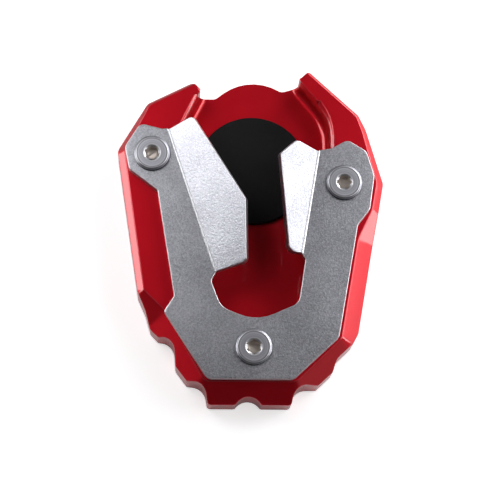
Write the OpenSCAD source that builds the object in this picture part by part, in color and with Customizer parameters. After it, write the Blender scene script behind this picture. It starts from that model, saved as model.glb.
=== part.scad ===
// Kickstand foot enlarger. A milled base plate takes the kickstand's foot in a pocket that is open
// at the back. A folded clamp plate closes over the foot, a rubber pad lies under it, and three
// low-head screws hold the clamp plate down. The part stands on its underside, with its toe toward -Y
// and the pocket's mouth toward +Y. The origin is at the middle of the underside.

/* [Base plate] */
// Width over the two shoulders
base_w = 85.4; // [80:0.2:100]
// Length from the toe to the tip of the longer horn
base_l = 108.4; // [104:0.2:130]
// Height of the seat that the clamp plate lies on
base_h = 15.5; // [13.5:0.1:20]
// Thickness of the pocket's floor
floor_t = 5.5; // [4:0.1:7]
// Width of the 45 degree bevel along the sides and the horns
bevel = 2.2; // [1:0.1:3]
// Width of the bevel along the two horns
horn_bevel = 0.9; // [0.4:0.1:1.5]
// Width of the 45 degree slope at the toe
toe_slope = 6.5; // [5.5:0.1:7]
// Width of the seat that shows in front of the clamp plate
toe_rim = 0.4; // [0.2:0.1:0.8]
// Width of the straight toe
toe_w = 26.2; // [24:0.2:30]
// Radius of the cutter that left the scallops
scallop_r = 4.8; // [4.2:0.1:5.2]
// Depth of the scallop in the toe
scallop_depth = 2.2; // [1:0.1:3]
// Radius that blends a scallop into the next edge
lip_r = 1.2; // [0.8:0.1:1.4]

/* [Pocket] */
// Radius between the pocket's floor and its wall
fillet_r = 2.3; // [1:0.1:3]
// Width of the chamfer along the pocket's upper edge
pocket_chamfer = 0.9; // [0.4:0.1:1.4]
// Radius of the rounded lip at the back of the floor
mouth_r = 16.2; // [15:0.1:17]

/* [Clamp plate] */
// Thickness of the sheet
plate_t = 3; // [2:0.1:4]
// Angle that the wings are folded up by
wing_angle = 17; // [5:1:25]
// Inner radius of the folds
fold_r = 2; // [1:0.1:3]
// Reach of the left wing from its fold
wing_reach_left = 15.9; // [13:0.1:16.5]
// Reach of the right wing from its fold
wing_reach_right = 12; // [10:0.1:12.5]

/* [Rubber pad] */
// Diameter of the pad
pad_d = 36; // [30:0.5:38]
// Thickness of the pad
pad_t = 1.5; // [1:0.1:3]

/* [Screws] */
// Thread diameter
screw_d = 6; // [4:0.5:6]
// Length of the screw under its head
screw_l = 11; // [8:0.5:13]
// Diameter of the head
head_d = 11.5; // [10:0.1:12]
// Height of the head
head_h = 1.4; // [1.2:0.1:2.5]
// Chamfer around the top of the head
head_chamfer = 0.7; // [0.3:0.1:1]
// Width across the flats of the hex socket
hex_af = 4; // [3:0.5:5]
// Depth of the hex socket
hex_depth = 2.2; // [1.5:0.1:3]
// Width of the chamfer around the socket, at the middle of a flat
socket_chamfer = 0.6; // [0.3:0.1:1]
// Chamfer at the end of the thread
tip_chamfer = 0.8; // [0.3:0.1:1.2]
// Room around the thread in the clamp plate
hole_gap = 0.3; // [0.2:0.05:0.5]
// Room around the thread in the base plate
thread_gap = 0.05; // [0.05:0.05:0.2]

/* [Hidden] */
$fn = 96;
// Largest angle between two points on a rounded corner
arc_step = 10;
// What a cut runs past the surface that it opens
past = 1;
// Reach of a wing's root into the flat sheet
fold_tab = 1;
// Step from the end of a fold to the start of the wing
root_gap = 0.3;

// Share of its full radius that an arc of the toe's scallop has, so that it stays clear of the next one
arc_share = 0.97;

// The width and length of the base that the outlines below are listed for. They stretch with the base.
listed_w = 85.4;
listed_l = 108.4;
wide = base_w / listed_w;
long = base_l / listed_l;
fit = min(wide, long);
function stretched(corners) = [for (c = corners) [c.x * wide, c.y * long, c.z * fit, if (len(c) > 3) c[3]]];
function placed(points) = [for (p = points) [p.x * wide, p.y * long]];
// A named radius as a list holds it, so that stretching leaves it as it is
function kept(radius) = radius / fit;

toe = -base_l / 2;
plate_top = base_h + plate_t;

// Screw and pad places
screw_places = placed([[-31.6, 24.9], [29.6, 16], [0.8, -37.4]]);
// How far each socket is turned
socket_turns = [42, 0, 30];
pad_place = placed([[0.8, 23.1]])[0];

// Ends of the two folds, the first end toward the back
left_fold = placed([[-26.6, 33.5], [-11.1, -13.7]]);
right_fold = placed([[21.8, 26.8], [16.1, -7.5]]);

function xy(p) = [p.x, p.y];
function unit(v) = v / norm(v);
// The outward normal of an edge that has the material on its left
function outward(e) = [e.y, -e.x];
function turn_angle(a, b) = atan2(a.x * b.y - a.y * b.x, a * b);

// The points of the rounded corner c between the corners before and after it, moved outward by grow. A
// corner is [x, y, radius], and a fourth value of 0 holds it in place where a chamfer fades.
function corner_arc(before, c, after, grow) =
    let (
        n1 = outward(unit(xy(c) - xy(before))),
        n2 = outward(unit(xy(after) - xy(c))),
        turn = turn_angle(n1, n2),
        side = sign(turn),
        miter = (n1 + n2) / (1 + n1 * n2),
        middle = xy(c) - side * c.z * miter,
        start = atan2(n1.y, n1.x),
        steps = ceil(abs(turn) / arc_step)
    )
    c.z == 0 ? [xy(c) + grow * miter] :
    [for (i = [0 : steps]) let (a = start + turn * i / steps)
        middle + (side * c.z + grow) * [cos(a), sin(a)]];

// A closed outline with rounded corners, listed counter-clockwise
function contour(corners, grow = 0, fading = false) =
    let (n = len(corners))
    [for (i = [0 : n - 1]) let (c = corners[i])
        each corner_arc(corners[(i + n - 1) % n], c, corners[(i + 1) % n], fading && c[3] == 0 ? 0 : grow)];

// The corner b moved inward by d from both of its edges
function inset(a, b, c, d) =
    let (
        n1 = outward(unit(xy(b) - xy(a))),
        n2 = outward(unit(xy(c) - xy(b))),
        p = xy(b) - d * (n1 + n2) / (1 + n1 * n2)
    )
    [p.x, p.y, b.z];

// A solid through the same outline at several levels, each level [height, grow, fading]
module skin(corners, levels) {
    n = len(contour(corners));
    m = len(levels);
    outlines = [for (level = levels) contour(corners, level[1], level[2] == true)];
    points = [for (k = [0 : m - 1]) each [for (p = outlines[k]) [p.x, p.y, levels[k][0]]]];
    ends = [[for (i = [0 : n - 1]) i], [for (i = [n - 1 : -1 : 0]) (m - 1) * n + i]];
    sides = [for (k = [0 : m - 2], i = [0 : n - 1])
        [k * n + i, (k + 1) * n + i, (k + 1) * n + (i + 1) % n, k * n + (i + 1) % n]];
    polyhedron(points, concat(ends, sides));
}

// A scallop across the edge that runs along +X at the height y, its middle at x
function toe_scallop(x, y) =
    let (
        angle = acos(1 - scallop_depth / (scallop_r + lip_r)),
        deep = scallop_depth + scallop_r * (1 / cos(angle) - 1),
        half = deep / tan(angle)
    )
    [
        [x - half, y, lip_r * arc_share], [x, y + deep, scallop_r * arc_share],
        [x + half, y, lip_r * arc_share]
    ];

// The base plate's corners, from the toe round the right side, the horns and the mouth to the left side
base_corners = concat(
    toe_scallop(-0.5 * wide, toe),
    [[toe_w / 2, toe, lip_r], [toe_w / 2 + 0.9, toe + 6, scallop_r]],
    stretched([
        [21.4, -48.1, kept(lip_r)], [26.1, -43.7, kept(lip_r)], [27.3, -39.7, kept(scallop_r)],
        [32.6, -34.7, 1.5], [34.4, -31.3, 3], [42.75, 17.2, 3], [37.3, 35.2, 8], [34.9, 39.8, 3],
        [19, 54.55, 1], [16.3, 52.1, 0.5], [10.5, 50.4, 2.5], [0.1, 56.5, kept(mouth_r)],
        [-11.3, 47.7, 2.5], [-16.2, 47.7, 0.5], [-18.6, 50.3, 2], [-33.3, 42.8, 3], [-42.75, 27.2, 3],
        [-35.7, -19, 2], [-33.2, -24.6, kept(scallop_r)], [-31.6, -30.3, 2], [-29, -33, kept(lip_r)],
        [-24.1, -33.3, kept(scallop_r)], [-23.5, -42.2, 2], [-19.9, -47.1, kept(lip_r)]
    ]),
    [[-toe_w / 2 - 1.3, toe + 6.4, scallop_r], [-toe_w / 2 - 0.2, toe, lip_r]]);
flank_low = base_corners[9];
shoulder_right = base_corners[10];
flank_right = base_corners[11];
neck_right = base_corners[12];
horn_right = base_corners[13];
horn_left = base_corners[19];
neck_left = base_corners[20];
shoulder_left = base_corners[21];
waist_left = base_corners[22];

// The clamp plate's corners, from the toe round the right arm, the slot and the left arm
plate_corners = concat(
    [[-13.6 * wide, toe + toe_slope + toe_rim, 3], [13.3 * wide, toe + toe_slope + toe_rim, 3]],
    stretched([
        [27.5, -34, 3], [33.9, 2.4, 2.5], [37.8, 7.5, 3], [39.4, 18.5, 3], [37, 26.6, 3],
        [30.9, 30.4, 2.5], [25.8, 27.5, 1.5], [21.8, 26.8, 0], [16.1, -7.5, 0], [17.1, -9.1, 1],
        [15, -23.2, 4], [1.6, -29.2, 14], [-9.5, -24.6, 6], [-12.6, -16.2, 2], [-11.1, -13.7, 0],
        [-26.6, 33.5, 0], [-28.4, 33.3, 3], [-35.5, 35, 2.5], [-40.3, 27.2, 3], [-38.8, 19.9, 1.5],
        [-29.7, 12.9, 1], [-24.1, -21.3, 1.5], [-27.3, -26.1, 1.2]
    ]));

// The seat's corners: the base's own ones moved in by the bevel, then the line of the slopes at the toe
past_right = horn_right + 0.3 * (horn_right - neck_right);
past_left = horn_left + 0.3 * (horn_left - neck_left);
seat_corners = concat(
    [[-14.6 * wide, toe + toe_slope, 3], [14.2 * wide, toe + toe_slope, 3]],
    stretched([[28.6, -33.8, 2.5], [34.4, -1.2, 9], [38.9, 8, 4]]),
    [
        inset(flank_low, shoulder_right, flank_right, bevel),
        inset(shoulder_right, flank_right, neck_right, (bevel + horn_bevel) / 2),
        inset(flank_right, neck_right, horn_right, horn_bevel),
        inset(neck_right, past_right, past_right + (horn_right - neck_right), horn_bevel),
        inset(past_left - (neck_left - horn_left), past_left, neck_left, horn_bevel),
        inset(horn_left, neck_left, shoulder_left, horn_bevel),
        inset(neck_left, shoulder_left, waist_left, bevel)
    ],
    stretched([[-33.7, -18.8, 1], [-26.9, -25.4, 9]]));

// The pocket's corners at its upper wall. Its chamfer fades out along the horns.
pocket_corners = stretched([
    [-13, -30.2, 6], [14, -30.2, 6], [19.5, -14.2, 8], [25.8, 16.2, 8], [25.75, 38.9, 17.5],
    [20.6, 45.3, 0, 0], [15.7, 51.4, 3, 0], [15.7, 64.2, 3, 0], [-16.1, 64.2, 3, 0], [-16.1, 48, 3, 0],
    [-16.75, 46.65, 0, 0], [-17.92, 44.2, 0], [-23.7, 32.2, 12], [-25.3, 21.2, 8], [-19, -14.2, 8]
]);

module base_plate() {
    // The bevels' planes run from above the seat down past the outline
    above = past / 2;
    below = toe_slope + 2 * past;
    color([0.60, 0.06, 0.11])
    difference() {
        intersection() {
            linear_extrude(base_h) polygon(contour(base_corners));
            skin(seat_corners, [[-past, below], [base_h - below, below], [base_h + above, -above]]);
        }
        pocket();
        for (place = screw_places)
            translate([place.x, place.y, plate_top - screw_l - past])
                cylinder(d = screw_d + 2 * thread_gap, h = screw_l + past);
    }
}

module pocket() {
    fillet = [for (a = [0 : 15 : 90]) [floor_t + fillet_r * (1 - cos(a)), -fillet_r * (1 - sin(a))]];
    edge = [[base_h - pocket_chamfer, 0], [base_h + past, pocket_chamfer + past, true]];
    skin(pocket_corners, concat(fillet, edge));
}

// The clamp plate's flat part, with its two folds and wings
module clamp_plate() {
    color([0.65, 0.66, 0.68])
    difference() {
        union() {
            translate([0, 0, base_h]) linear_extrude(plate_t) polygon(contour(plate_corners));
            wing(left_fold, left_wing, 1);
            wing(right_fold, right_wing, -1);
        }
        for (place = screw_places)
            translate([place.x, place.y, base_h - past])
                cylinder(d = screw_d + 2 * hole_gap, h = plate_t + 2 * past);
    }
}

// A wing's corners, measured along its fold from the back end and away from the fold. The first two
// lie under the flat sheet.
left_length = norm(left_fold[1] - left_fold[0]);
right_length = norm(right_fold[1] - right_fold[0]);
root = -(fold_r + plate_t + fold_tab);
left_wing = [
    [root_gap, root, 0], [left_length - root_gap, root, 0], [left_length - root_gap, root_gap, 0],
    [left_length + 0.1, 9.7, 2], [0.62 * left_length, wing_reach_left, 2.5], [-0.9, 8.2, 1.5],
    [root_gap, root_gap, 0]
];
right_wing = [
    [root_gap, root, 0], [right_length - root_gap, root, 0], [right_length - root_gap, root_gap, 0],
    [right_length + 0.2, 3.6, 2.5], [4.2, wing_reach_right, 1.2], [-1.6, 7.4, 2], [root_gap, root_gap, 0]
];

// A wing with its fold: the folded sheet's section runs along the fold, and the wing's outline is cut
// square to its own face
module wing(fold, corners, side) {
    along = fold[1] - fold[0];
    outer_r = fold_r + plate_t;
    reach = max([for (c = corners) c.y]) + past;
    spare = 2 * past;
    outline = [for (c = corners) [c.x, side * c.y, c.z]];
    turned = side > 0 ? outline : [for (i = [len(outline) - 1 : -1 : 0]) outline[i]];
    translate([fold[0].x, fold[0].y, plate_top + fold_r]) rotate([0, 0, atan2(along.y, along.x)])
        intersection() {
            translate([-spare, 0, 0]) rotate([90, 0, 90])
                linear_extrude(norm(along) + 2 * spare) polygon(fold_section(reach, side));
            rotate([side * wing_angle, 0, 0]) translate([0, 0, -outer_r - past])
                linear_extrude(plate_t + 2 * past) polygon(contour(turned));
        }
}

// The section of the folded sheet about the fold's axis: a tab in the flat sheet, the fold, the wing
function fold_section(reach, side) =
    let (
        outer_r = fold_r + plate_t,
        arc = [for (i = [0 : 4]) wing_angle * i / 4],
        under = [for (a = arc) outer_r * [sin(a), -cos(a)]],
        upper = [for (i = [4 : -1 : 0]) fold_r * [sin(arc[i]), -cos(arc[i])]],
        run = reach * [cos(wing_angle), sin(wing_angle)]
    )
    [for (p = concat([[-fold_tab, -outer_r]], under, [under[4] + run, upper[0] + run], upper,
        [[-fold_tab, -fold_r]])) [side * p.x, p.y]];

module rubber_pad() {
    color([0.13, 0.13, 0.14])
    translate([pad_place.x, pad_place.y, floor_t])
        cylinder(d = pad_d, h = pad_t);
}

module clamp_screws() {
    color([0.55, 0.55, 0.57])
    for (i = [0 : len(screw_places) - 1])
        translate([screw_places[i].x, screw_places[i].y, plate_top]) rotate(socket_turns[i]) clamp_screw();
}

// A low-head screw whose head stands on z = 0
module clamp_screw() {
    r = screw_d / 2;
    head_r = head_d / 2;
    mouth_d = hex_af + 2 * socket_chamfer;
    // The cone of the socket's mouth ends between the flats and the corners of the hexagon
    cone = 0.75 * socket_chamfer;
    difference() {
        rotate_extrude() polygon([
            [0, -screw_l], [r - tip_chamfer, -screw_l], [r, tip_chamfer - screw_l], [r, 0], [head_r, 0],
            [head_r, head_h - head_chamfer], [head_r - head_chamfer, head_h], [0, head_h]
        ]);
        translate([0, 0, head_h - hex_depth])
            cylinder(d = hex_af / cos(30), h = hex_depth + past, $fn = 6);
        translate([0, 0, head_h - cone])
            cylinder(d1 = mouth_d - 2 * cone, d2 = mouth_d + 2 * past, h = cone + past);
    }
}

base_plate();
clamp_plate();
rubber_pad();
clamp_screws();
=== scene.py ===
"""Looks of a kickstand foot enlarger: a red anodised base, a blasted steel clamp plate with two folded
wings, a rubber pad and three low-head screws, on a white table under soft studio light."""

from math import pi, radians

import bmesh
import bpy
from mathutils import Matrix, Vector


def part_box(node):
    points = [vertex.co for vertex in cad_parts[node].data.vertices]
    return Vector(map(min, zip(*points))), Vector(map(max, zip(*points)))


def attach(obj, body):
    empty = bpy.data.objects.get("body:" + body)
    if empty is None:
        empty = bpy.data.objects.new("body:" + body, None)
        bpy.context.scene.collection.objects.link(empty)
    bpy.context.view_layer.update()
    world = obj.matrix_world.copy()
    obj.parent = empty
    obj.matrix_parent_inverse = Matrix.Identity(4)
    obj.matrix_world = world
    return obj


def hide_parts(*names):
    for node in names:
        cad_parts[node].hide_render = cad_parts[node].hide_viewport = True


MM = 0.001

# Places seen from above, in the source's millimetres: the ends of both folds, where the pocket's
# chamfer fades out, and the screws' axes
LEFT_FOLD = (-26.6, 33.5), (-11.1, -13.7)
RIGHT_FOLD = (21.8, 26.8), (16.1, -7.5)
CHAMFER_ENDS = (20.6, 45.3), (-16.75, 46.65)
SCREW_PLACES = (-31.6, 24.9), (29.6, 16.0), (0.8, -37.4)

# How far from a fold's line its painted highlight and bump reach, and from the chamfer's ends the edges
# are spared
FOLD_WIDTH = 0.35 * MM
CHAMFER_REACH = 1.6 * MM

# How wide the broken edges are
BASE_EDGE = 0.22 * MM
PLATE_EDGE = 0.24 * MM
PAD_EDGE = 0.35 * MM
SCREW_EDGE = 0.12 * MM

# Angles between two faces: up to the first they are one flat face, past the second their edge is
# broken, and past the third it stays sharp in the shading
FLAT, SHARP, SHADED_SHARP = radians(0.5), radians(28), radians(35)

# The screws' heads: their height, and the radii of the socket's mouth with its painted highlight, of
# the flat
# # face's inner edge, of the ring painted dark as a groove's shade, and of the rim past which the
# head's low side is painted in shade
HEAD_HEIGHT = 1.4 * MM
MOUTH_RADIUS = 2.62 * MM
FACE_RADIUS = 3.5 * MM
GROOVE_RADIUS = 4.75 * MM
RIM_RADIUS = 5.3 * MM

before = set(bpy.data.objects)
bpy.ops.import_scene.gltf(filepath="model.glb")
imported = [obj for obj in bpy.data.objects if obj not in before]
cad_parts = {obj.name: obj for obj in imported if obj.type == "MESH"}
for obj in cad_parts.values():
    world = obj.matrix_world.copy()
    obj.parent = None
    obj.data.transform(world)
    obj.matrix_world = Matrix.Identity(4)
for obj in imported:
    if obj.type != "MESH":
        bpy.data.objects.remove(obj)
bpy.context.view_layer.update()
heads_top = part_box("clamp_screws")[1].z
plate_top = heads_top - HEAD_HEIGHT
screw_axes = [Vector(place) * MM for place in SCREW_PLACES]


# Node trees

class Socket:
    """An output of a node, with the arithmetic that shader maths needs."""

    def __init__(self, tree, link):
        self.tree = tree
        self.link = link

    def math(self, operation, first, second):
        return self.tree.node("Math", {"operation": operation}, {0: first, 1: second})

    def __add__(self, other):
        return self.math("ADD", self, other)

    def __sub__(self, other):
        return self.math("SUBTRACT", self, other)

    def __rsub__(self, other):
        return self.math("SUBTRACT", other, self)

    def __mul__(self, other):
        return self.math("MULTIPLY", self, other)

    def __lt__(self, other):
        return self.math("LESS_THAN", self, other)

    def __gt__(self, other):
        return self.math("GREATER_THAN", self, other)

    def __abs__(self):
        return self.math("ABSOLUTE", self, 0.0)

    __radd__ = __add__
    __rmul__ = __mul__


class Tree:
    """The nodes of a material or of the world."""

    def __init__(self, owner):
        owner.use_nodes = True
        self.nodes = owner.node_tree.nodes
        self.links = owner.node_tree.links
        self.nodes.clear()

    def node(self, kind, settings=None, inputs=None, output=0):
        """A new node: its settings first, then what its sockets hold or are linked to."""
        made = self.nodes.new("ShaderNode" + kind)
        for name, value in (settings or {}).items():
            setattr(made, name, value)
        for name, value in (inputs or {}).items():
            if isinstance(value, Socket):
                self.links.new(value.link, made.inputs[name])
            else:
                made.inputs[name].default_value = value
        return Socket(self, made.outputs[output] if made.outputs else None)

    def place(self):
        """Where a point is on the part, or on the table from its middle."""
        return self.node("TexCoord", output="Object")

    def attribute(self, name, output="Fac"):
        """What the mesh keeps at its points or faces under that name."""
        return self.node("Attribute", {"attribute_name": name}, output=output)

    def noise(self, place, size, detail=2.0, roughness=0.5):
        """Soft random blobs of about that size, from 0 to 1."""
        return self.node("TexNoise", {}, {
            "Vector": place, "Scale": 1 / size, "Detail": detail, "Roughness": roughness})

    def steps(self, value, low, high, bottom=0.0, top=1.0):
        """The value mapped from low..high to bottom..top, smoothly, and held outside of it."""
        return self.node("MapRange", {"interpolation_type": "SMOOTHSTEP"}, {
            "Value": value, "From Min": low, "From Max": high, "To Min": bottom, "To Max": top})

    def blend(self, share, first, second):
        """A colour between two colours."""
        return self.node("Mix", {"data_type": "RGBA"}, {0: share, 6: first, 7: second}, output=2)

    def near_a_line(self, place, start, end):
        """1 on the line between two places as seen from above, fading to 0 at FOLD_WIDTH from it."""
        start, end = Vector(start) * MM, Vector(end) * MM
        along = (end - start).normalized()
        reach = self.dot(place, along) - along.dot(start)
        aside = self.dot(place, Vector((along.y, -along.x))) - (along.y * start.x - along.x * start.y)
        between = (reach > 0.0) * (reach < (end - start).length)
        return between * self.steps(abs(aside), 0.0, FOLD_WIDTH, 1.0, 0.0)

    def dot(self, place, direction):
        """How far a place lies along a level direction."""
        return self.node("VectorMath", {"operation": "DOT_PRODUCT"}, {
            0: place, 1: (*direction, 0)}, output="Value")

    def length(self, vector):
        """How long a vector is."""
        return self.node("VectorMath", {"operation": "LENGTH"}, {0: vector}, output="Value")

    def surface(self, colour, roughness, height, depth, metal=1.0, **sockets):
        """A Principled shader on the output, with its grain as a height of that depth in metres."""
        normal = self.node("Bump", {}, {"Strength": 1.0, "Distance": depth, "Height": height})
        inputs = {"Base Color": colour, "Metallic": metal, "Roughness": roughness, "Normal": normal}
        inputs.update(sockets)
        shader = self.node("BsdfPrincipled", {}, inputs)
        self.node("OutputMaterial", {}, {"Surface": shader})


def material(name):
    """A new material and its empty node tree."""
    made = bpy.data.materials.new(name)
    return made, Tree(made)


# Finishes

def red_anodised():
    """Aluminium, fine blasted and dyed red under a clear oxide skin. Its broken edges get a painted
    pink highlight.
    """
    made, tree = material("red_anodised")
    place = tree.place()
    edge = tree.attribute("edge")
    grain = tree.noise(place, 0.16 * MM)
    clouds = tree.noise(place, 9 * MM, 3.0)
    dye_and_painted_highlight = tree.blend(clouds, (0.62, 0.0080, 0.019, 1), (0.68, 0.0105, 0.023, 1))
    # Painted pink highlight on the broken edges
    dye_and_painted_highlight = tree.blend(0.2 * edge, dye_and_painted_highlight, (0.80, 0.16, 0.20, 1))
    roughness = 0.44 + 0.06 * clouds + 0.05 * grain - 0.04 * edge
    tree.surface(dye_and_painted_highlight, roughness, grain, 0.006 * MM, **{
        "Coat Weight": 1.0, "Coat Roughness": 0.08, "Coat IOR": 1.6})
    return made


def blasted_steel():
    """Stainless sheet with a coarse blasted grain, and a painted highlight on its broken edges and
    along its folds.
    """
    made, tree = material("blasted_steel")
    place = tree.place()
    edge = tree.attribute("edge")
    height = tree.node("SeparateXYZ", {}, {"Vector": place}, output="Z")
    fold = tree.near_a_line(place, *LEFT_FOLD) + tree.near_a_line(place, *RIGHT_FOLD)
    fold = fold * (height > plate_top - 0.15 * MM)
    pits = tree.noise(place, 0.55 * MM, 3.0, 0.6)
    sparkle = tree.noise(place, 0.28 * MM, 1.0)
    clouds = tree.noise(place, 14 * MM, 2.0)
    tone = 0.5 * pits + 0.3 * sparkle + 0.2 * clouds
    metal = tree.blend(tree.steps(tone, 0.3, 0.7), (0.38, 0.385, 0.43, 1), (0.79, 0.795, 0.855, 1))
    # Painted highlight on the broken edges and along the folds
    metal = tree.blend(0.6 * edge + 0.8 * fold, metal, (0.90, 0.90, 0.92, 1))
    roughness = 0.30 + 0.16 * pits - 0.08 * (edge + fold)
    tree.surface(metal, roughness, pits + 0.5 * sparkle + 1.2 * fold, 0.075 * MM)
    return made


def rubber():
    """Black moulded rubber, dull, with a very fine grain and a little dust."""
    made, tree = material("rubber")
    place = tree.place()
    grain = tree.noise(place, 0.4 * MM, 3.0)
    dust = tree.steps(tree.noise(place, 5 * MM, 4.0, 0.7), 0.45, 0.8)
    colour = tree.blend(0.3 * dust, (0.0035, 0.0035, 0.0042, 1), (0.012, 0.012, 0.014, 1))
    roughness = 0.55 + 0.15 * grain
    tree.surface(colour, roughness, grain, 0.02 * MM, metal=0.0, **{"Specular IOR Level": 0.2})
    return made


def turned_steel():
    """Stainless screws: rings from the lathe on the head, a painted highlight on the socket's rim and
    edges, a dull warm tone down in the socket, painted shade in a ring on the face and on the head's
    low side by the plate."""
    made, tree = material("turned_steel")
    place = tree.place()
    edge = tree.attribute("edge")
    radius = tree.length(tree.attribute("from_axis", "Vector"))
    height = tree.attribute("over_plate")
    rings = tree.noise(tree.node("CombineXYZ", {}, {"X": radius}), 0.5 * MM, 3.0, 0.7)
    grain = tree.noise(place, 0.25 * MM, 2.0)
    mouth = radius < MOUTH_RADIUS
    inside = mouth * (height < HEAD_HEIGHT - 0.5 * MM)
    groove_shade = tree.steps(abs(radius - GROOVE_RADIUS), 0.05 * MM, 0.25 * MM, 1.0, 0.0)
    painted_shade_at_foot = (radius > RIM_RADIUS) * (height < 0.8 * MM)
    steel = tree.blend(tree.steps(rings, 0.3, 0.7), (0.40, 0.40, 0.45, 1), (0.68, 0.68, 0.74, 1))
    # Painted highlight on the broken edges and on the socket's rim
    steel = tree.blend(0.8 * edge + 0.5 * mouth, steel, (0.86, 0.86, 0.88, 1))
    # Painted shade in a ring on the face, where a turned groove's shade would fall
    steel = tree.blend(0.6 * groove_shade, steel, (0.12, 0.12, 0.14, 1))
    # Painted shade on the head's low side, next to the plate
    steel = tree.blend(0.9 * painted_shade_at_foot, steel, (0.015, 0.015, 0.018, 1))
    steel = tree.blend(inside, steel, (0.50, 0.44, 0.40, 1))
    roughness = 0.38 + 0.12 * grain - 0.1 * mouth
    tree.surface(steel, roughness, 0.5 * rings + grain, 0.012 * MM, metal=1.0 - 0.7 * inside)
    return made


# Pieces

def dressed(node, name, finish, width, segments=2, spared=lambda edge: False):
    """A copy of a CAD node with its doubles merged and its sharp edges broken to that width, apart
    from the edges that are spared. Its flat faces are cut anew first, because the node's long thin
    triangles would spoil the bevel."""
    bm = bmesh.new()
    bm.from_mesh(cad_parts[node].data)
    bmesh.ops.remove_doubles(bm, verts=bm.verts, dist=0.001 * MM)
    bmesh.ops.dissolve_limit(bm, angle_limit=FLAT, verts=bm.verts, edges=bm.edges)
    bmesh.ops.triangulate(bm, faces=bm.faces, quad_method="BEAUTY", ngon_method="BEAUTY")
    flat = [e for e in bm.edges if e.calc_face_angle() < FLAT]
    bmesh.ops.beautify_fill(bm, faces=bm.faces, edges=flat, method="AREA")
    # The broken edges' faces are marked, and the finishes paint a highlight on them
    painted_highlight_faces = bm.faces.layers.float.new("edge")
    sharp = [e for e in bm.edges if e.calc_face_angle() > SHARP and not spared(e)]
    broken = bmesh.ops.bevel(
        bm, geom=sharp, offset=width, offset_type="OFFSET", affect="EDGES", segments=segments,
        profile=0.5, material=-1, clamp_overlap=False)
    for face in broken["faces"]:
        face[painted_highlight_faces] = 1.0
    bmesh.ops.dissolve_degenerate(bm, dist=0.0005 * MM, edges=bm.edges)
    for face in bm.faces:
        face.smooth = True
    mesh = bpy.data.meshes.new(name)
    bm.to_mesh(mesh)
    bm.free()
    mesh.set_sharp_from_angle(angle=SHADED_SHARP)
    mesh.materials.append(finish)
    piece = bpy.data.objects.new(name, mesh)
    bpy.context.scene.collection.objects.link(piece)
    shade = piece.modifiers.new("flat_faces_stay_flat", "WEIGHTED_NORMAL")
    shade.keep_sharp = True
    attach(piece, "root")
    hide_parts(node)
    return piece


def fading(edge):
    """Whether an edge is where the pocket's chamfer fades out, too narrow there to be broken."""
    middle = (edge.verts[0].co + edge.verts[1].co) / 2
    ends = [Vector(end) * MM for end in CHAMFER_ENDS]
    from_end = min((middle.xy - end).length for end in ends)
    return middle.z > 14 * MM and from_end < CHAMFER_REACH


def in_a_socket(edge):
    """Whether an edge is down in a screw's socket, and not on its rim."""
    from_axis = min((edge.verts[0].co.xy - axis).length for axis in screw_axes)
    lower = min(v.co.z for v in edge.verts)
    return from_axis < FACE_RADIUS and lower < heads_top - 0.05 * MM


def measure_from_axes(piece):
    """Keeps at each point of the screws how far it is from its own screw's axis, and over the plate."""
    points = [v.co.copy() for v in piece.data.vertices]
    nearest = [min(screw_axes, key=lambda axis: (p.xy - axis).length) for p in points]
    aside = [(*(p.xy - axis), 0) for p, axis in zip(points, nearest)]
    made = piece.data.attributes.new("from_axis", "FLOAT_VECTOR", "POINT")
    made.data.foreach_set("vector", [x for v in aside for x in v])
    made = piece.data.attributes.new("over_plate", "FLOAT", "POINT")
    made.data.foreach_set("value", [p.z - plate_top for p in points])


def pieces():
    """The four nodes' dressed copies."""
    dressed("base_plate", "base", red_anodised(), BASE_EDGE, 3, fading)
    dressed("clamp_plate", "plate", blasted_steel(), PLATE_EDGE)
    dressed("rubber_pad", "pad", rubber(), PAD_EDGE, 3)
    screws = dressed(
        "clamp_screws", "screws", turned_steel(), SCREW_EDGE, spared=in_a_socket)
    measure_from_axes(screws)


# Studio

CAMERA_PLACE = Vector((-24.9, -139.9, 562.5)) * MM
CAMERA_TARGET = Vector((0, -4.15, 9.5)) * MM
CAMERA_LENS = 128.25
LIGHT_TARGET = Vector((0, 0, 10)) * MM

# Strengths at which the dim room glows, from its front to its back
ROOM_FRONT, ROOM_BACK = 0.0, 0.02

# The softboxes: name, place in metres, width and height in metres, and brightness
SOFTBOXES = (
    ("right_at_the_table", (0.598, 0.052, 0.040), (0.42, 0.13), 5.4),
    ("left_at_the_table", (-0.600, 0.040, 0.045), (0.42, 0.14), 5.0),
    ("low_right_back", (0.422, 0.380, 0.205), (0.32, 0.15), 8.5),
    ("over_left_wing", (-0.155, 0.100, 0.220), (0.14, 0.16), 3.7),
    ("over_right_wing", (0.155, 0.045, 0.230), (0.16, 0.15), 0.6),
    ("right", (0.441, 0.039, 0.415), (0.40, 0.27), 2.4),
    ("near_left_back", (-0.180, 0.140, 0.140), (0.28, 0.20), 0.2),
    ("near_right_back", (0.180, 0.140, 0.140), (0.28, 0.20), 1.1),
    ("right_front", (0.400, -0.350, 0.120), (0.36, 0.20), 0.2),
    ("front", (0.000, -0.360, 0.330), (1.10, 0.30), 0.1),
)

# The table's radius, how far it lies below the part so that their faces don't meet, and how far from
# its middle its own glow starts to rise and reaches white
TABLE_RADIUS = 0.45
TABLE_DROP = 0.02 * MM
GLOW_START, GLOW_END = 0.07, 0.22


def look_at(thing, place, target, up):
    """Places a lamp or the camera, turned to the target with that direction at the top of its view."""
    ahead = (target - place).normalized()
    aside = ahead.cross(up).normalized()
    turn = Matrix((aside, aside.cross(ahead), -ahead)).transposed()
    thing.matrix_world = Matrix.Translation(place) @ turn.to_4x4()
    bpy.context.scene.collection.objects.link(thing)


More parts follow.
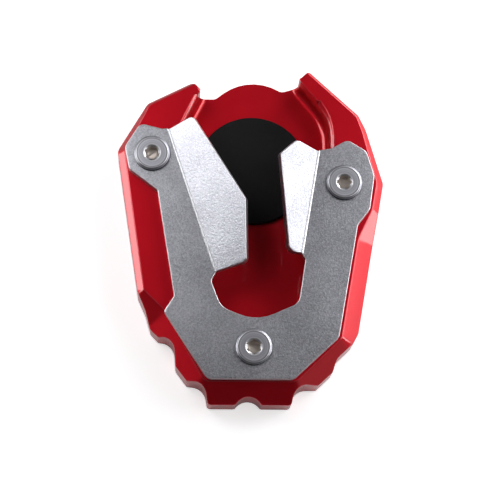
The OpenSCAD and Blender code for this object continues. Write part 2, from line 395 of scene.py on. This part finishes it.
def softbox(name, place, size, brightness):
    """A lit panel that is this many times as bright as a white surface at plain light."""
    lamp = bpy.data.lights.new(name, "AREA")
    lamp.shape = "RECTANGLE"
    lamp.size, lamp.size_y = size
    lamp.energy = brightness * pi * size[0] * size[1]
    look_at(bpy.data.objects.new(name, lamp), place, LIGHT_TARGET, Vector((0, 0.01, 1)))


def room():
    """A dim room, lighter toward the back, with a white background where the camera sees it."""
    world = bpy.data.worlds.new("room")
    bpy.context.scene.world = world
    tree = Tree(world)
    direction = tree.node("TexCoord", output="Generated")
    toward_back = tree.node("SeparateXYZ", {}, {"Vector": direction}, output="Y")
    light = tree.steps(toward_back, -0.9, 0.9, ROOM_FRONT, ROOM_BACK)
    walls = tree.node("Background", {}, {"Color": (1, 1, 1, 1), "Strength": light})
    white = tree.node("Background", {}, {"Color": (1, 1, 1, 1), "Strength": 1.0})
    camera_ray = tree.node("LightPath", output="Is Camera Ray")
    shown = tree.node("MixShader", {}, {0: camera_ray, 1: walls, 2: white})
    tree.node("OutputWorld", {}, {"Surface": shown})


def table():
    """A white table that keeps the part's shadow, and glows until it is white farther out."""
    bm = bmesh.new()
    bmesh.ops.create_circle(bm, cap_ends=True, radius=TABLE_RADIUS, segments=96)
    bmesh.ops.translate(bm, verts=bm.verts, vec=(0, 0, -TABLE_DROP))
    mesh = bpy.data.meshes.new("table")
    bm.to_mesh(mesh)
    bm.free()
    made, tree = material("table")
    camera_ray = tree.node("LightPath", output="Is Camera Ray")
    glossy_ray = tree.node("LightPath", output="Is Glossy Ray")
    lit = tree.node("BsdfDiffuse", {}, {"Color": (0.86, 0.86, 0.87, 1)})
    from_middle = tree.length(tree.place())
    seen = tree.steps(from_middle, GLOW_START, GLOW_END, 0.66, 1.1)
    glow = tree.node("Emission", {}, {
        "Color": (1, 1, 1, 1), "Strength": seen * camera_ray + 0.1 * glossy_ray})
    tree.node("OutputMaterial", {}, {"Surface": tree.node("AddShader", {}, {0: lit, 1: glow})})
    mesh.materials.append(made)
    top = bpy.data.objects.new("table", mesh)
    bpy.context.scene.collection.objects.link(top)


def camera():
    """Seen from the toe's side, 76 degrees over the table and leaning 2.5 degrees to the left."""
    data = bpy.data.cameras.new("camera")
    data.lens = CAMERA_LENS
    data.sensor_width = 36
    data.clip_start = 0.01
    thing = bpy.data.objects.new("camera", data)
    look_at(thing, CAMERA_PLACE, CAMERA_TARGET, Vector((0, 1, 0)))
    bpy.context.scene.camera = thing


def main():
    pieces()
    room()
    table()
    for name, place, size, brightness in SOFTBOXES:
        softbox(name, Vector(place), size, brightness)
    camera()
    bpy.context.scene.view_settings.view_transform = "Standard"


main()
